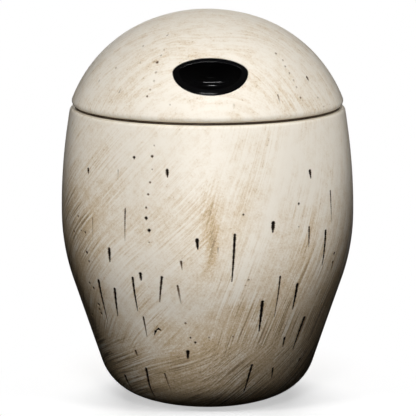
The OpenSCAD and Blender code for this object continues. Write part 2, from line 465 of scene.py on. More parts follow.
pot_marks.seen(dots([
    (134, 158, 2.4, 0.8), (152, 157, 2.5, 0.65), (154, 146, 1.6, 0.35), (152, 170, 1.6, 0.35),
    (150, 183, 1.8, 0.5), (148, 195, 2, 0.5), (146, 208, 2, 0.6), (146, 218.5, 2.7, 1), (149, 231, 2.7, 1),
    (149, 243, 1.8, 0.35), (85, 233, 1.8, 0.6), (81, 231, 1.6, 0.5), (78, 216.5, 1.6, 0.5),
    (74, 232, 1.8, 0.5), (299, 204, 2, 0.7), (299, 227, 1.5, 0.4), (243.4, 215, 1.8, 0.7),
    (86.6, 253, 2.2, 0.8), (89, 262, 2, 0.8), (190.4, 338, 1.8, 0.7), (195.3, 343, 1.8, 0.7),
    (185.4, 324, 2, 0.5), (334.7, 254, 2, 0.7), (89.5, 283.5, 2, 0.7), (93.5, 288.4, 2, 0.8),
    (98.4, 305, 2.2, 0.8), (99.4, 310, 2, 0.7), (101, 314, 2.2, 0.8), (92, 315, 2, 0.6), (322, 304, 1.8, 0.5),
    (209, 338, 2, 0.4), (248.7, 280.5, 2.2, 0.4), (233, 337, 1.8, 0.4),
]))

# The side away from the picture is marked by the same hand: slits low down, rows of dots higher up
SLITS = 36
DOT_ROWS = 6
ROW_DOTS = 7
chance = np.random.default_rng(41)


def scattered(places, spread):
    """Places that are each moved by a normal chance of this spread."""
    return places + chance.normal(0, spread, len(places))


def back_marks(marks, deg, v, widths, darks, lean_deg=0.05, cells=0.12):
    """Adds strokes from an angle and v to a lean round and some cells down, of chance width and darkness."""
    width = chance.uniform(*widths, len(deg))
    dark = chance.uniform(*darks, len(deg))
    marks.add(np.radians(deg), v, np.radians(deg + lean_deg), v - cells, width, dark)


slit_deg = scattered(np.linspace(84, 276, SLITS), spread=1.5)
slit_v = chance.uniform(pot_from + 13, pot_from + 38, SLITS)
slit_cells = chance.uniform(1.2, 9.0, SLITS)
slit_lean = chance.normal(0, 1.2, SLITS)
back_marks(
    pot_marks, slit_deg, slit_v, widths=(0.8, 1.7), darks=(0.45, 1.0), lean_deg=slit_lean, cells=slit_cells
)
row_deg = scattered(np.repeat(np.linspace(100, 260, DOT_ROWS), ROW_DOTS), spread=1.2)
row_v = scattered(np.tile(np.linspace(pot_from + 53, pot_from + 34, ROW_DOTS), DOT_ROWS), spread=0.7)
back_marks(pot_marks, row_deg, row_v, widths=(0.8, 1.6), darks=(0.3, 1.0))


UNEVEN = 0.05


def hand_finish(u, v):
    """Slow unevenness of sponged slip, all of it inward: a product of sines for three lumps round the wall
    and some along it, plus a sine of both together for the twist of the sponge."""
    angle = turn_angle(u)
    lumps = np.sin(3 * angle + 1.3) * np.sin(v / 9.0 + 0.4)
    return UNEVEN * (2 + (lumps + np.sin(5 * angle + v / 5.0)))


def fade(distance, cells):
    """Rises evenly from 0 to 1 over some cells."""
    return np.clip(distance / cells, 0, 1)


pot_u, pot_v, _, pot_faces = split_cells(cell_count(pot_section), pot_marks.near)
_, pot_depth, pot_stain = pot_marks.measure(pot_u, pot_v, MARK_REACH)
on_outside = fade(pot_v - pot_from, cells=4) * fade(pot_to - pot_v, cells=3)
pot_points = turned(pot_section, pot_u, pot_v, pot_depth + on_outside * hand_finish(pot_u, pot_v))
pole_points = np.array([[0, 0, FOOT_HOLLOW], [0, 0, WALL]])
close_poles(pot_faces, pot_u, pot_v, cell_count(pot_section), len(pot_points))

# Wash left standing or wiped away, and painted shade along the left and right edges, as x, y, half length,
# half width, angle of the stroke and strength
pot_wash_and_edge_shade = [
    # The big patch at (72, 238) on the left edge is brown wash and painted shade together
    (72, 238, 68, 42, 90, 0.62), (100, 152, 24, 12, 45, 0.22), (98, 196, 24, 11, 45, 0.25),
    (122, 186, 28, 8, 45, 0.18), (165, 218, 34, 20, 12, 0.15), (210, 208, 16, 8, 80, 0.35),
    (211, 228, 18, 7, 78, 0.55), (212, 254, 22, 6, 85, 0.85), (150, 262, 46, 13, 45, -0.12),
    (270, 215, 95, 10, 70, -0.25), (252, 190, 42, 15, 70, 0.15), (310, 190, 34, 20, 80, -0.2),
    (304, 250, 52, 9, 70, 0.15), (290, 295, 50, 32, 60, 0.28), (340, 255, 60, 30, 85, 0.15),
    (240, 352, 64, 13, 30, 0.15), (152, 326, 40, 26, 80, -0.70), (205, 305, 50, 16, 20, -0.25),
    # The patches at (84, 300), (324, 305), (100, 356) and (312, 356), low on both edges, are painted shade
    # over the wash
    (84, 300, 60, 15, 104, 0.70), (324, 305, 60, 14, 74, 0.65), (100, 356, 38, 14, 116, 0.55),
    (312, 356, 38, 14, 64, 0.55), (118, 285, 44, 18, 70, -0.35), (247, 324.5, 11, 1.4, 2, -0.7),
]


def with_more(numbers, count=2):
    """Numbers on the points, with nothing on the points that follow them, such as the two poles."""
    return np.concatenate([numbers, np.zeros(count)])


BARE_BELOW = 5.5
BARE_ABOVE = 0.5
pot = add_piece("pot", np.concatenate([pot_points, pole_points]), pot_faces, {
    "stain": with_more(pot_stain),
    # The patches give wash and, along the left and right edges, painted shade
    "brownness": with_more(patch_bells(pot_marks, pot_wash_and_edge_shade, pot_u, pot_v)),
    "outside": with_more((pot_v > pot_from) & (pot_v < pot_to + RIM_CELLS)),
    "bare": with_more((pot_v > pot_from - BARE_BELOW) & (pot_v < pot_from + BARE_ABOVE)),
})


class Wire:
    """One output of a shader node. Sums, differences, products and quotients add Math nodes."""

    def __init__(self, tree, socket=None):
        self.tree = tree
        self.socket = socket

    def node(self, kind, sockets, output=0, **settings):
        """Adds a shader node, makes its settings, fills its sockets and gives one of its outputs."""
        made = self.tree.nodes.new("ShaderNode" + kind)
        for key, value in settings.items():
            setattr(made, key, value)
        for key, value in sockets.items():
            if isinstance(value, Wire):
                self.tree.links.new(value.socket, made.inputs[key])
            else:
                made.inputs[key].default_value = value
        return Wire(self.tree, made.outputs[output] if made.outputs else None)

    def math(self, operation, first, second=0.0):
        """A Math node on two values."""
        return self.node("Math", {0: first, 1: second}, operation=operation)

    def __add__(self, other):
        return self.math("ADD", self, other)

    def __radd__(self, other):
        return self.math("ADD", other, self)

    def __sub__(self, other):
        return self.math("SUBTRACT", self, other)

    def __rsub__(self, other):
        return self.math("SUBTRACT", other, self)

    def __mul__(self, other):
        return self.math("MULTIPLY", self, other)

    def __rmul__(self, other):
        return self.math("MULTIPLY", other, self)

    def __truediv__(self, other):
        return self.math("DIVIDE", self, other)

    def __rtruediv__(self, other):
        return self.math("DIVIDE", other, self)

    def between(self, low, high):
        """Smooth step from 0 at low to 1 at high."""
        limits = {"Value": self, "From Min": low, "From Max": high}
        return self.node("MapRange", limits, interpolation_type="SMOOTHSTEP")

    def blend(self, first, second):
        """Colour mixed from first to second by this factor."""
        return self.node("Mix", {0: self, 6: first, 7: second}, 2, data_type="RGBA")

    def number(self, name):
        """A number stored on the piece's points."""
        return self.node("Attribute", {}, "Fac", attribute_name=name)

    def place(self):
        """Where a point lies in the shared frame, in metres."""
        return self.node("TexCoord", {}, "Object")

    def noise(self, scale, detail, roughness=0.5, output=0):
        """Cloudy noise over this place: its scale, how many finer layers it has and how strong they are."""
        sockets = {"Vector": self, "Scale": scale, "Detail": detail, "Roughness": roughness}
        return self.node("TexNoise", sockets, output)

    def show(self):
        """Makes this shader the surface of its material."""
        self.node("OutputMaterial", {"Surface": self})


def new_finish(name, kind=bpy.data.materials):
    """An empty material, or a world, and the wire that its nodes start from."""
    made = kind.new(name)
    made.use_nodes = True
    made.node_tree.nodes.clear()
    return made, Wire(made.node_tree)


CREAM = (0.86, 0.80, 0.70, 1)
WASH = (0.61, 0.46, 0.28, 1)
UMBER = (0.20, 0.14, 0.085, 1)
RUST = (0.20, 0.13, 0.075, 1)
STAIN = (0.010, 0.007, 0.005, 1)
INNER_GLAZE = (0.74, 0.66, 0.53, 1)
BARE_CLAY = (0.62, 0.54, 0.43, 1)
MEAN = 0.5


def strokes(place, turn, seed, sway_by, long, apart):
    """Bristle lines: noise swayed a little, turned to the stroke's angle above level, drawn out along it and
    packed close across it. The seed shifts the noise, and sway, length and spacing are in millimetres."""
    sway = place.noise(scale=0.012, detail=1.0, output="Color")
    sway = place.node("VectorMath", {0: sway, "Scale": sway_by}, operation="SCALE")
    place = place.node("VectorMath", {0: place, 1: sway}, operation="ADD")
    laid = place.node("Mapping", {
        "Vector": place,
        "Location": (seed, seed, seed),
        "Rotation": (0.0, 0.0, np.radians(turn)),
        "Scale": (long, apart, long),
    }, vector_type="TEXTURE")
    return laid.noise(scale=1.0, detail=4.0, roughness=0.74).between(0.28, 0.72)


# How strongly bristle lines, grain, pores and mottle show in the wash, in its darkest parts and in the relief
GRAIN = 1.6
GRAIN_PORES = 0.5
GRAIN_LEAST = 0.35
GRAIN_MOTTLE = 0.8
LINES_LEAST = 0.32
LINES_ON_WASH = 0.95
UMBER_LINES = 0.85
UMBER_GRAIN = 0.8
UMBER_PORES = 0.6
LINE_RELIEF = 0.6
GRAIN_RELIEF = 0.15


def satin_glaze(sheet, lines, brownness, where, bite):
    """Pale glaze over brushed wash: cream goes brown with the brownness, which on the pot also holds painted
    shade at its edges, and bristle lines stand out in it.

    where is the place on the piece, and bite is how strongly lines and grain show. Dry stain fills the
    marks, the inside is plain glaze, and the foot ring is bare clay.
    """
    fine = where.noise(scale=900.0, detail=3.0, roughness=0.75)
    mottle = where.noise(scale=160.0, detail=4.0, roughness=0.65)
    pores = fine.between(0.60, 0.72) * mottle.between(0.42, 0.62)
    specks = ((fine - MEAN) * GRAIN + pores * GRAIN_PORES) * (GRAIN_LEAST + brownness)
    grain = specks + (mottle - MEAN) * GRAIN_MOTTLE
    bristle = (lines - MEAN) * (LINES_LEAST + brownness * LINES_ON_WASH)
    amount = (brownness + bite * (bristle + grain)).between(-0.25, 1.1)
    colour = amount.blend(CREAM, WASH)
    deep = brownness + bite * ((lines - MEAN) * UMBER_LINES + (fine - MEAN) * UMBER_GRAIN + pores * UMBER_PORES)
    colour = deep.between(0.75, 1.7).blend(colour, UMBER)
    outside = sheet.number("outside")
    colour = outside.blend(INNER_GLAZE, colour)
    bare = sheet.number("bare")
    colour = bare.blend(colour, BARE_CLAY)
    stain = sheet.number("stain")
    colour = stain.between(0.02, 0.5).blend(colour, RUST)
    dry = stain.between(0.3, 0.75)
    colour = dry.blend(colour, STAIN)
    relief = lines * outside * LINE_RELIEF + fine * GRAIN_RELIEF
    sheet.node("BsdfPrincipled", {
        "Base Color": colour,
        "Roughness": 0.42 + amount * 0.14 + bare * 0.3 + dry * 0.25,
        "Specular IOR Level": 0.12,
        "Coat Weight": 0.8 * (1 - bare) * (1 - dry),
        "Coat Roughness": 0.36,
        "Normal": sheet.node("Bump", {"Strength": 0.25, "Distance": 0.0004, "Height": relief}),
    }).show()


pot_finish, sheet = new_finish("brushed glaze of the pot")
place = sheet.place()
x, y, z = (sheet.node("SeparateXYZ", {0: place}, axis) for axis in "XYZ")
radius = sheet.math("SQRT", x * x + y * y)
side = x / radius
front = 0 - y / radius
height = z / MM


def unrolled(across, along, height):
    """The outside rolled out flat in millimetres: the angle times the belly's radius, and the height."""
    angle = across.math("ARCTAN2", across, along)
    return angle.node("CombineXYZ", {0: angle * BELLY_R, 1: height})


# Brushed up to the right on the left side, steeper on the right, flatter low down. The front and the back
# half are unrolled apart, so that neither shows a seam, and blended where they meet.
SIDE_BLEND = (-0.35, 0.35)
halves = []
for half, (across, along) in enumerate([(x, 0 - y), (0 - x, y)]):
    flat = unrolled(across, along, height)
    slant = strokes(flat, turn=44, seed=11.0 + half, sway_by=10.0, long=56.0, apart=1.5)
    steep = strokes(flat, turn=72, seed=23.0 + half, sway_by=10.0, long=56.0, apart=1.6)
    level = strokes(flat, turn=18, seed=37.0 + half, sway_by=9.0, long=50.0, apart=1.4)
    rising = strokes(flat, turn=36, seed=53.0 + half, sway_by=9.0, long=50.0, apart=1.4)
    low = level + side.between(*SIDE_BLEND) * (rising - level)
    turned_side = (side * front * 2).between(-0.35, 0.25)
    upper = height.between(34.0, 58.0)
    halves.append(low + upper * (slant + turned_side * (steep - slant) - low))
lines = halves[1] + front.between(*SIDE_BLEND) * (halves[0] - halves[1])

# More wash stands towards the foot, and it is wiped off towards the rim
FAINT_LINES = 0.45
WORKED_LINES = 0.95
WASH_STANDING = 0.23
FOOT_WASH = 0.75
RIM_WIPED = 0.22
PATCH_BROWNNESS = 0.9
CLOUD_WASH = 0.4
POT_BITE = 1.4
broad = place.noise(scale=22.0, detail=3.0, roughness=0.55)
low_wash = (1 - height.between(0.0, 112.0)) * FOOT_WASH
standing = WASH_STANDING + low_wash - height.between(112.0, 165.0) * RIM_WIPED
# The patches bring in the wash and, along the left and right edges, painted shade
brownness = sheet.number("brownness") * PATCH_BROWNNESS + (broad - MEAN) * CLOUD_WASH + standing
worked = place.noise(scale=34.0, detail=2.0).between(0.38, 0.6)
lines = MEAN + (lines - MEAN) * (FAINT_LINES + worked * WORKED_LINES)
satin_glaze(sheet, lines, brownness, place, POT_BITE)

pot.data.materials.append(pot_finish)
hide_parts("jar_body")
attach(pot, "jar")

# The lid: a slip-cast dome with a round edge and a flange that hangs in the pot's mouth, washed and glazed
# like the pot but brushed round the dome. The opening in its front is cut while the clay is soft.
LID_Z = 185.0
DOME_H = 58.8
CROWN_R = 101.0
CROWN_W = 68.0
LID_INSET = 1.5
FLANGE_R = 76.24
FLANGE_T = 4.0
FLANGE_END_Z = 175.5
BEAD_R = 0.7
CUP_L = 46.0
CUP_RISE = 9.4
CUP_DROP = 18.2
CUP_HALF_DEPTH = 14.2
CUP_DEG = 42.0
CUP_SINK = 6.9
CUP_WALL = 2.8
CUP_GAP = 0.2
OPENING_ROUND = 0.6

edge_c = np.array([rim_c[0] - LID_INSET, LID_Z + WALL / 2 - EDGE_FLAT])
crown_c = np.array([0.0, LID_Z + DOME_H - CROWN_R])
join_deg = np.degrees(np.arccos(CROWN_W / 2 / CROWN_R))
join = crown_c + CROWN_R * heading(join_deg)
span = join - edge_c
flank_r = (span @ span - (WALL / 2) ** 2) / (2 * (heading(join_deg) @ span - WALL / 2))
flank_c = join - flank_r * heading(join_deg)
edge_deg = np.degrees(np.arctan2(*(edge_c - flank_c)[::-1]))
flange_in_r = FLANGE_R - FLANGE_T
ledge_deg = np.degrees(np.arccos((flange_in_r - flank_c[0]) / (flank_r - WALL)))
ledge = flank_c + (flank_r - WALL) * heading(ledge_deg)
bead_z = FLANGE_END_Z + BEAD_R
flat_r = edge_c[0] + np.sqrt((WALL / 2) ** 2 - (edge_c[1] - LID_Z) ** 2)
flat_end_deg = np.degrees(np.arctan2(LID_Z - edge_c[1], flat_r - edge_c[0]))
pole_gap_deg = np.degrees(POLE_R / CROWN_R)

lid_ceiling = [arc(crown_c, CROWN_R - WALL, 90 - pole_gap_deg, join_deg, 8)]
lid_slope = [arc(flank_c, flank_r - WALL, join_deg, ledge_deg, 14)]
lid_flange = [
    line(ledge, (flange_in_r, FLANGE_END_Z), 7),
    arc((flange_in_r + FLANGE_T / 2, FLANGE_END_Z), FLANGE_T / 2, 180, 360, 6),
    arc((FLANGE_R, bead_z), BEAD_R, -90, 90, 6),
    line((FLANGE_R, bead_z + BEAD_R), (FLANGE_R, LID_Z), 3),
    line((FLANGE_R, LID_Z), (flat_r, LID_Z), 3),
    arc(edge_c, WALL / 2, flat_end_deg, edge_deg, 6),
]
lid_flank = [arc(flank_c, flank_r, edge_deg, join_deg, 20)]
lid_crown = [arc(crown_c, CROWN_R, join_deg, 90 - pole_gap_deg, 10)]
lid_section = lid_ceiling + lid_slope + lid_flange + lid_flank + lid_crown
slope_v = cell_count(lid_ceiling)
ledge_v = slope_v + cell_count(lid_slope)
flank_v = ledge_v + cell_count(lid_flange)
lid_cells = cell_count(lid_section)

lid_marks = Marks(lid_section, flank_v, lid_cells)
lid_marks.seen(dots([
    (143, 46, 2, 0.3), (164, 50, 1.8, 0.28), (161, 55.5, 1.8, 0.3), (157, 62.5, 2.6, 0.5),
    (154, 62, 2.4, 0.25), (140, 63, 2, 0.2), (115.5, 68, 2.2, 0.28), (155.7, 72.7, 2.2, 0.3),
    (153.8, 81.3, 2, 0.25), (150, 90, 1.8, 0.3), (147, 96.6, 1.8, 0.5), (99, 81, 1.8, 0.25),
    (177.7, 90, 2, 0.45), (170, 105, 1.8, 0.28), (184, 101, 1.8, 0.28), (202.5, 98.5, 1.6, 0.3),
    (276, 53.6, 1.8, 0.38), (283, 60.3, 1.6, 0.3), (285.4, 66.6, 1.7, 0.34), (289.6, 73.3, 1.7, 0.36),
    (293.8, 80.4, 1.7, 0.3), (296.7, 87.4, 1.7, 0.3), (300.7, 98, 1.8, 0.45), (260, 89, 1.4, 0.25),
    (318, 98, 1.8, 0.28), (324, 107, 2, 0.3),
]))
lid_marks.seen([
    (167, 35.5, 169, 33, 1.6, 0.38), (119, 92, 122, 85, 1.6, 0.32), (307, 77, 309, 81, 1.9, 0.62),
    (278, 95, 280.6, 104.3, 1.6, 0.42), (234, 104, 234.5, 110, 1.4, 0.28),
])
LID_ROWS = 5
LID_ROW_DOTS = 8
row_deg = scattered(np.repeat(chance.uniform(85, 275, LID_ROWS), LID_ROW_DOTS), spread=1.0)
row_v = scattered(flank_v + np.tile(np.linspace(2, 22, LID_ROW_DOTS), LID_ROWS), spread=0.5)
back_marks(lid_marks, row_deg, row_v, widths=(0.8, 1.4), darks=(0.25, 0.5))

# Windows in the grid, out and in, that the cut opening with its rolled edge and wall is fitted into
WINDOW_HALF = 10
WINDOW_ROWS = 11
OUTER_WINDOW_START = 2
INNER_WINDOW_START = 6
outer_low_v = flank_v + OUTER_WINDOW_START
inner_top_v = slope_v + INNER_WINDOW_START
window = np.zeros((AROUND, lid_cells), bool)
for first in (outer_low_v, inner_top_v):
    window[:WINDOW_HALF, first : first + WINDOW_ROWS] = True
    window[-WINDOW_HALF:, first : first + WINDOW_ROWS] = True

cup_c = flank_c + (flank_r - CUP_SINK) * heading(CUP_DEG)
cup_out, cup_level = heading(CUP_DEG)
cup_middle = np.array([0.0, -cup_c[0], cup_c[1]])
cup_across = np.array([1.0, 0.0, 0.0])
cup_up = np.array([0.0, cup_level, cup_out])
cup_face = np.array([0.0, -cup_out, cup_level])


def egg(theta, phi, grow):
    """Place on the cup's egg: half lengths across, up or down the slope and square to it, times the sine and
    cosine of theta, round the face's normal, and of phi, down from that normal."""
    slope = np.where(np.sin(theta) > 0, CUP_RISE, CUP_DROP) + grow
    return cup_middle + ((CUP_L / 2 + grow) * np.sin(phi) * np.cos(theta))[:, None] * cup_across \
        + (slope * np.sin(phi) * np.sin(theta))[:, None] * cup_up \
        + ((CUP_HALF_DEPTH + grow) * np.cos(phi))[:, None] * cup_face


def over_dome(points):
    """Height of points over the dome's outside, along its normal."""
    return np.hypot(np.hypot(points[:, 0], points[:, 1]) - flank_c[0], points[:, 2] - flank_c[1]) - flank_r


def into_lid(points):
    """Distance of points outside the hollow under the lid: past its sloping ceiling or past the flange."""
    return np.maximum(over_dome(points) + WALL, np.hypot(points[:, 0], points[:, 1]) - flange_in_r)


HALVINGS = 45


def egg_angle(theta, grow, measure, level=0.0):
    """Angle phi at which the egg passes a level of a measure that falls with phi, found by halving."""
    low = np.zeros(len(theta))
    high = np.full(len(theta), np.pi)
    for _ in range(HALVINGS):
        middle = (low + high) / 2
        above = measure(egg(theta, middle, grow)) > level
        low = np.where(above, middle, low)
        high = np.where(above, high, middle)
    return (low + high) / 2


def bend(start, corner, end, count):
    """Rings of a rounded corner: quadratic curves from start to end that lean towards the corner."""
    t = np.linspace(0, 1, count)[:, None, None]
    return (1 - t) ** 2 * start + 2 * t * (1 - t) * corner + t**2 * end


lid_u, lid_v, lid_corner, lid_faces = split_cells(lid_cells, lid_marks.near, window)
_, lid_depth, lid_stain = lid_marks.measure(lid_u, lid_v, MARK_REACH)
# The lid's unevenness fades out towards its edge, its crown and the opening
from_front = np.abs((lid_u + AROUND / 2) % AROUND - AROUND / 2) - WINDOW_HALF
clear = np.maximum(fade(from_front, cells=4), fade(lid_v - outer_low_v - WINDOW_ROWS, cells=3))
on_dome = fade(lid_v - flank_v, cells=4) * fade(lid_cells - lid_v, cells=6)
lid_points = turned(lid_section, lid_u, lid_v, lid_depth + hand_finish(lid_u, lid_v) * on_dome * clear)

bottom = np.arange(-WINDOW_HALF, WINDOW_HALF)
upright = np.arange(WINDOW_ROWS)
right_side = np.full(WINDOW_ROWS, WINDOW_HALF)
top_side = np.full(2 * WINDOW_HALF, WINDOW_ROWS)
loop_u = np.concatenate([bottom, right_side, -bottom, -right_side])
loop_up = np.concatenate([np.zeros(2 * WINDOW_HALF), upright, top_side, WINDOW_ROWS - upright])
theta = np.arctan2(loop_up / WINDOW_ROWS * 2 - 1, loop_u / WINDOW_HALF)
outer_loop_v = outer_low_v + loop_up
inner_loop_v = inner_top_v + WINDOW_ROWS - loop_up


def turn_of(points):
    """u of points, from their angle round the axis."""
    return np.arctan2(points[:, 0], -points[:, 1]) * AROUND / (2 * np.pi)


def slope_deg(points):
    """Angle of points on the dome's section, seen from the centre of the flank's curve."""
    out = np.hypot(points[:, 0], points[:, 1]) - flank_c[0]
    return np.degrees(np.arctan2(points[:, 2] - flank_c[1], out))


ON_FLANGE_WITHIN = 0.001
COLLAR_RINGS = 5
EDGE_RINGS = 6
THROAT_RINGS = 7
wide = CUP_GAP + OPENING_ROUND
brow = egg(theta, egg_angle(theta, wide, over_dome), wide)
lip = egg(theta, egg_angle(theta, CUP_GAP, over_dome), CUP_GAP)
throat_phi = egg_angle(theta, CUP_GAP, over_dome, -OPENING_ROUND)
inner_phi = egg_angle(theta, CUP_GAP, into_lid)
inner_lip = egg(theta, inner_phi, CUP_GAP)
brow_v = flank_v + (slope_deg(brow) - edge_deg) / (join_deg - edge_deg) * cell_count(lid_flank)
on_flange = np.hypot(inner_lip[:, 0], inner_lip[:, 1]) > flange_in_r - ON_FLANGE_WITHIN
inner_v = np.where(
    on_flange,
    ledge_v + (ledge[1] - inner_lip[:, 2]) / (ledge[1] - FLANGE_END_Z) * cell_count(lid_flange[:1]),
    slope_v + (join_deg - slope_deg(inner_lip)) / (join_deg - ledge_deg) * cell_count(lid_slope),
)


def collar(from_u, from_v, to_u, to_v):
    """Rings on the lid's surface between two loops, evenly mixed in the grid's own u and v."""
    shares = np.linspace(0, 1, COLLAR_RINGS + 2)[1:-1]
    between = [(from_u + (to_u - from_u) * share, from_v + (to_v - from_v) * share) for share in shares]
    return np.stack([turned(lid_section, u, v) for u, v in between])


def egg_rings(from_phi, to_phi, grow, shares):
    """Rings on an egg between two angles down from its normal, at the given shares of the way."""
    return np.stack([egg(theta, from_phi + (to_phi - from_phi) * share, grow) for share in shares])


def strips(rings):
    """Quads between each ring of corner numbers and the next, every ring closed on itself."""
    pairs = zip(rings[:-1], rings[1:])
    return [np.stack([one, np.roll(one, -1), np.roll(other, -1), other], 1) for one, other in pairs]


opening = np.concatenate([
    collar(loop_u, outer_loop_v, turn_of(brow), brow_v),
    bend(brow, lip, egg(theta, throat_phi, CUP_GAP), EDGE_RINGS),
    egg_rings(throat_phi, inner_phi, CUP_GAP, np.linspace(0, 1, THROAT_RINGS + 1)[1:]),
    collar(turn_of(inner_lip), inner_v, loop_u, inner_loop_v),
])
loop_size = len(theta)
rings = np.arange(opening.shape[0] * loop_size).reshape(-1, loop_size) + len(lid_points)
rings = np.concatenate([[lid_corner(loop_u, outer_loop_v)], rings, [lid_corner(loop_u, inner_loop_v)]])
lid_faces += strips(rings)

opening_points = opening.reshape(-1, 3)
lid_total = len(lid_points) + len(opening_points)
lid_poles = np.array([[0, 0, LID_Z + DOME_H - WALL], [0, 0, LID_Z + DOME_H]])
close_poles(lid_faces, lid_u, lid_v, lid_cells, lid_total)

# Wash on the dome, in the same terms as on the pot
lid_patches = [
    (110, 100, 40, 9, 18, 0.25), (190, 40, 60, 8, 0, 0.15), (300, 105, 34, 7, -14, 0.3),
    (240, 55, 50, 10, -4, -0.2), (150, 62, 30, 9, 20, 0.2), (190, 108, 60, 6, 2, -0.25),
]
ROUND_EDGE_CELLS = 5
opening_outside = np.repeat(np.arange(opening.shape[0]) < COLLAR_RINGS + EDGE_RINGS, loop_size)
lid_outside = np.concatenate([lid_v > flank_v - ROUND_EDGE_CELLS, opening_outside, [0, 1]])
lid_more = len(opening_points) + 2
lid = add_piece("lid_shell", np.concatenate([lid_points, opening_points, lid_poles]), lid_faces, {
    "stain": with_more(lid_stain, lid_more),
    "brownness": with_more(patch_bells(lid_marks, lid_patches, lid_u, lid_v), lid_more),
    "outside": lid_outside,
    "bare": np.zeros(lid_total + 2),
})

LID_PATCH_WASH = 0.8
LID_CLOUD_WASH = 0.3
LID_WASH_STANDING = 0.06
LID_BITE = 1.7
lid_finish, sheet = new_finish("brushed glaze of the lid")
place = sheet.place()
lid_mm = sheet.node("VectorMath", {0: place, "Scale": 1 / MM}, operation="SCALE")
arcs = strokes(lid_mm, turn=3, seed=71.0, sway_by=10.0, long=60.0, apart=1.8)
crossing = strokes(lid_mm, turn=-14, seed=317.0, sway_by=10.0, long=60.0, apart=1.8)
broad = place.noise(scale=26.0, detail=3.0, roughness=0.55)
lines = arcs + broad.between(0.42, 0.62) * (crossing - arcs)
brownness = sheet.number("brownness") * LID_PATCH_WASH + (broad - MEAN) * LID_CLOUD_WASH + LID_WASH_STANDING
satin_glaze(sheet, lines, brownness, place, LID_BITE)

lid.data.materials.append(lid_finish)
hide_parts("lid")
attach(lid, "lid")

# The finger cup: a small egg-shaped cup, slip-cast and glazed in gloss black, that is set into the opening
# and held by the glaze when it is fired. Its rolled rim lies flush with the dome.
CUP_AROUND = 120
RIM_ROUND_IN = 0.6
RIM_ROUND_OUT = 0.5
BACK_RINGS = 20
RIM_OUT_RINGS = 6
RIM_IN_RINGS = 9
POCKET_RINGS = 38

theta = np.arange(CUP_AROUND) * 2 * np.pi / CUP_AROUND
back_phi = egg_angle(theta, 0.0, over_dome, -RIM_ROUND_OUT)
pocket_phi = egg_angle(theta, -CUP_WALL, over_dome, -RIM_ROUND_IN)
pocket_top = egg(theta, pocket_phi, -CUP_WALL)


def rim_ring(grow):
    """Ring on the flush rim: where an egg of this size passes the dome."""
    return egg(theta, egg_angle(theta, grow, over_dome), grow)


cup_rings = np.concatenate([
    egg_rings(np.pi, back_phi, 0.0, np.linspace(0, 1, BACK_RINGS + 2)[1:-1]),
    bend(egg(theta, back_phi, 0.0), rim_ring(0.0), rim_ring(-RIM_ROUND_OUT), RIM_OUT_RINGS),
    bend(rim_ring(RIM_ROUND_IN - CUP_WALL), rim_ring(-CUP_WALL), pocket_top, RIM_IN_RINGS),
    egg_rings(pocket_phi, np.pi, -CUP_WALL, np.linspace(0, 1, POCKET_RINGS + 2)[1:-1]),
])
cup_poles = cup_middle - np.array([[CUP_HALF_DEPTH], [CUP_HALF_DEPTH - CUP_WALL]]) * cup_face
numbers = np.arange(cup_rings.shape[0] * CUP_AROUND).reshape(-1, CUP_AROUND)
cup_faces = strips(numbers)
cup_faces.append(pole_fan(numbers[0], numbers.size, False))
cup_faces.append(pole_fan(numbers[-1], numbers.size + 1, True))
cup = add_piece("cup", np.concatenate([cup_rings.reshape(-1, 3), cup_poles]), cup_faces, {})

BLACK_GLAZE = (0.0030, 0.0030, 0.0033, 1)
BLACK_THIN = (0.0040, 0.0036, 0.0034, 1)
POOL_RELIEF = 0.8
SPECK_RELIEF = 0.05

cup_finish, sheet = new_finish("black gloss glaze")
place = sheet.place()
pooled = place.noise(scale=90.0, detail=2.0)
speck = place.noise(scale=1400.0, detail=2.0)
relief = pooled * POOL_RELIEF + speck * SPECK_RELIEF
sheet.node("BsdfPrincipled", {
    "Base Color": pooled.between(0.35, 0.7).blend(BLACK_GLAZE, BLACK_THIN),
    "Roughness": 0.07 + speck * 0.06,
    "Specular IOR Level": 0.35,
    "Normal": sheet.node("Bump", {"Strength": 0.2, "Distance": 0.0004, "Height": relief}),
}).show()
cup.data.materials.append(cup_finish)
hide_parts("finger_cup")
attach(cup, "lid")

# The seal: a moulded ring of brown silicone, stretched over the lid's flange. Its shelf lies between the
# lid and the pot's rim, and its fins stand just inside the mouth.
SILICONE = (0.030, 0.018, 0.010, 1)
SILICONE_DUSTY = (0.060, 0.042, 0.028, 1)

seal_finish, sheet = new_finish("brown silicone")
place = sheet.place()
bloom = place.noise(scale=160.0, detail=4.0)
grain = place.noise(scale=3000.0, detail=2.0)
sheet.node("BsdfPrincipled", {
    "Base Color": bloom.between(0.4, 0.7).blend(SILICONE, SILICONE_DUSTY),
    "Roughness": 0.5 + bloom * 0.2,
    "Normal": sheet.node("Bump", {"Strength": 0.15, "Distance": 0.0001, "Height": grain}),
}).show()
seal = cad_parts["lid_seal"]
seal.data.materials.clear()
seal.data.materials.append(seal_finish)

# The studio: a white floor that keeps a soft shadow round the jar, and white all round. Lamps stand in front,
# above, at both sides and behind, and the glaze mirrors only the two narrow ones in front.
FLOOR = (-6.0, 6.0)
SHADOW_REACH = (0.06, 0.14)
SHADOW_LIFT = 0.5
WHITE = (1, 1, 1, 1)
FILL = (1.0, 0.98, 0.95, 1)
FILL_STRENGTH = 0.012
FLOOR_WHITE = (0.9, 0.9, 0.9, 1)
FLOOR_DIM = (0.02, 0.0175, 0.015, 1)


def rectangle(x, y, z):
    """Four corners from ranges of x, y and z: round in x and y if the face is level, and up in z if not."""
    near, far = y if z[0] == z[1] else y[::-1]
    return [(x[0], y[0], z[0]), (x[1], near, z[0]), (x[1], y[1], z[1]), (x[0], far, z[1])]


def board(name, corners, finish):
    """A flat face with its finish."""
    mesh = bpy.data.meshes.new(name)
    mesh.from_pydata(corners, [], [range(len(corners))])
    mesh.materials.append(finish)
    return put(name, mesh)


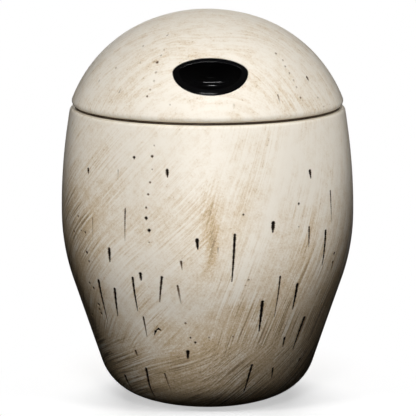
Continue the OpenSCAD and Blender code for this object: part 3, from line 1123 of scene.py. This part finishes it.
def seen_or_lit(lit, seen):
    """One shader for what the lens sees, straight, mirrored or through glass, and another for light cast."""
    looks = lit.node("LightPath", {}, "Is Camera Ray")
    for ray in ("Is Glossy Ray", "Is Transmission Ray"):
        looks = lit.math("MAXIMUM", looks, lit.node("LightPath", {}, ray))
    return lit.node("MixShader", {0: looks, 1: lit, 2: seen})


floor_finish, sheet = new_finish("white floor")
shadowed = sheet.node("BsdfDiffuse", {"Color": FLOOR_WHITE})
glow = sheet.node("Emission", {"Color": WHITE, "Strength": SHADOW_LIFT})
near_jar = sheet.node("AddShader", {0: shadowed, 1: glow})
white = sheet.node("Emission", {"Color": WHITE, "Strength": 1.0})
place = sheet.place()
away = sheet.node("VectorMath", {0: place}, "Value", operation="LENGTH")
shown = sheet.node("MixShader", {0: away.between(*SHADOW_REACH), 1: near_jar, 2: white})
bounce = sheet.node("BsdfDiffuse", {"Color": FLOOR_DIM})
seen_or_lit(bounce, shown).show()
floor = board("floor", rectangle(FLOOR, FLOOR, (0, 0)), floor_finish)
floor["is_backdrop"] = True

bpy.context.scene.world, sheet = new_finish("studio", bpy.data.worlds)
fill = sheet.node("Background", {"Color": FILL, "Strength": FILL_STRENGTH})
white = sheet.node("Background", {"Color": WHITE, "Strength": 1.0})
sheet.node("OutputWorld", {"Surface": seen_or_lit(fill, white)})


def softbox(name, turn_deg, lift_deg, distance, width, height, watts):
    """A rectangular lamp that faces the jar, from an angle round it and one above level; metres, watts."""
    lamp = put(name, bpy.data.lights.new(name, "AREA"))
    lamp.data.shape = "RECTANGLE"
    lamp.data.size = width
    lamp.data.size_y = height
    lamp.data.energy = watts
    turn, lift = np.radians([turn_deg, lift_deg])
    way = Vector((np.sin(turn) * np.cos(lift), -np.cos(turn) * np.cos(lift), np.sin(lift)))
    lamp.location = Vector(AIM * MM) + way * distance
    lamp.rotation_euler = way.to_track_quat("Z", "Y").to_euler()
    return lamp


# Each lamp's angle round the jar and above level, its distance, width and height, and its watts
softbox("low catch", -3, 4, 1.7, 0.85, 0.06, 4.0)
softbox("catch", -2, 48, 1.6, 0.3, 0.08, 2.4)
unmirrored = [
    softbox("front", 3, 7, 1.7, 0.75, 0.12, 5.9),
    softbox("key", -4, 50, 1.6, 1.0, 0.7, 3.4),
    softbox("left side", -58, 28, 1.7, 0.4, 0.4, 13.8),
    softbox("right side", 58, 28, 1.7, 0.4, 0.4, 15.2),
    softbox("rear", 180, 25, 1.8, 2.0, 0.6, 32.0),
]
for lamp in unmirrored:
    lamp.visible_glossy = False

# Black cards round the jar, under it and overhead are seen by the glaze alone, so that its edges and the cup
# mirror black. Each is given by its range of x, y and z.
CARD_BLACK = (0.01, 0.01, 0.01, 1)
CARDS = {
    "left card": ((-0.34, -0.34), (-0.6, 1.6), (0, 0.9)),
    "right card": ((0.34, 0.34), (-0.6, 1.6), (0, 0.9)),
    "rear wall": ((-3, 3), (-2.4, -2.4), (0, 2.6)),
    "table card": ((-0.34, 0.34), (-0.6, 1.6), (0.0005, 0.0005)),
    "back card": ((-3, 3), (1.6, 1.6), (0.4, 2.6)),
    "ceiling": ((-3, 3), (-2.4, 1.6), (2.6, 2.6)),
}

# Flags only cast shade, on the foot and the lower sides. The upper edge of the front one is a bowl that is a
# little higher at the right, and the side flags are given as y and z.
FLAG_X = 0.22
FLAG_Y = -0.32
BOWL_STEPS = 23
BOWL_LOW = 0.066
BOWL_LEAN = 0.2
BOWL_CURVE = 4.2
BOWL_FLARE = 1200
bowl_x = np.linspace(FLAG_X, -FLAG_X, BOWL_STEPS)
bowl_z = BOWL_LOW + BOWL_LEAN * bowl_x + BOWL_CURVE * bowl_x**2 + BOWL_FLARE * bowl_x**4
bowl = np.stack([bowl_x, np.full(BOWL_STEPS, FLAG_Y), bowl_z], 1).tolist()
FLAG_REAR = [(FLAG_Y, 0), (0.2, 0), (0.2, 0.34), (-0.1, 0.34), (-0.1, 0.24)]
LEFT_FLAG = FLAG_REAR + [(-0.14, 0.195), (-0.19, 0.13), (FLAG_Y, 0.13)]
RIGHT_FLAG = FLAG_REAR + [(-0.15, 0.19), (-0.2, 0.165), (FLAG_Y, 0.165)]
FLAGS = {
    "front flag": [(-FLAG_X, FLAG_Y, 0), (FLAG_X, FLAG_Y, 0), *bowl],
    "left flag": [(-FLAG_X, *corner) for corner in LEFT_FLAG],
    "right flag": [(FLAG_X, *corner) for corner in RIGHT_FLAG],
}
card_finish, sheet = new_finish("black card")
sheet.node("BsdfDiffuse", {"Color": CARD_BLACK}).show()
for name in (*CARDS, *FLAGS):
    corners = FLAGS[name] if name in FLAGS else rectangle(*CARDS[name])
    card = board(name, corners, card_finish)
    card.visible_camera = False
    card.visible_diffuse = False
    card.visible_transmission = False
    card.visible_glossy = name in CARDS
    card.visible_shadow = name in FLAGS
    card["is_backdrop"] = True

bpy.context.scene.view_settings.view_transform = "Standard"
sizes = {"cad": cad_box, "visual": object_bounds()}
{key: [[float(n) for n in corner] for corner in box] for key, box in sizes.items()}
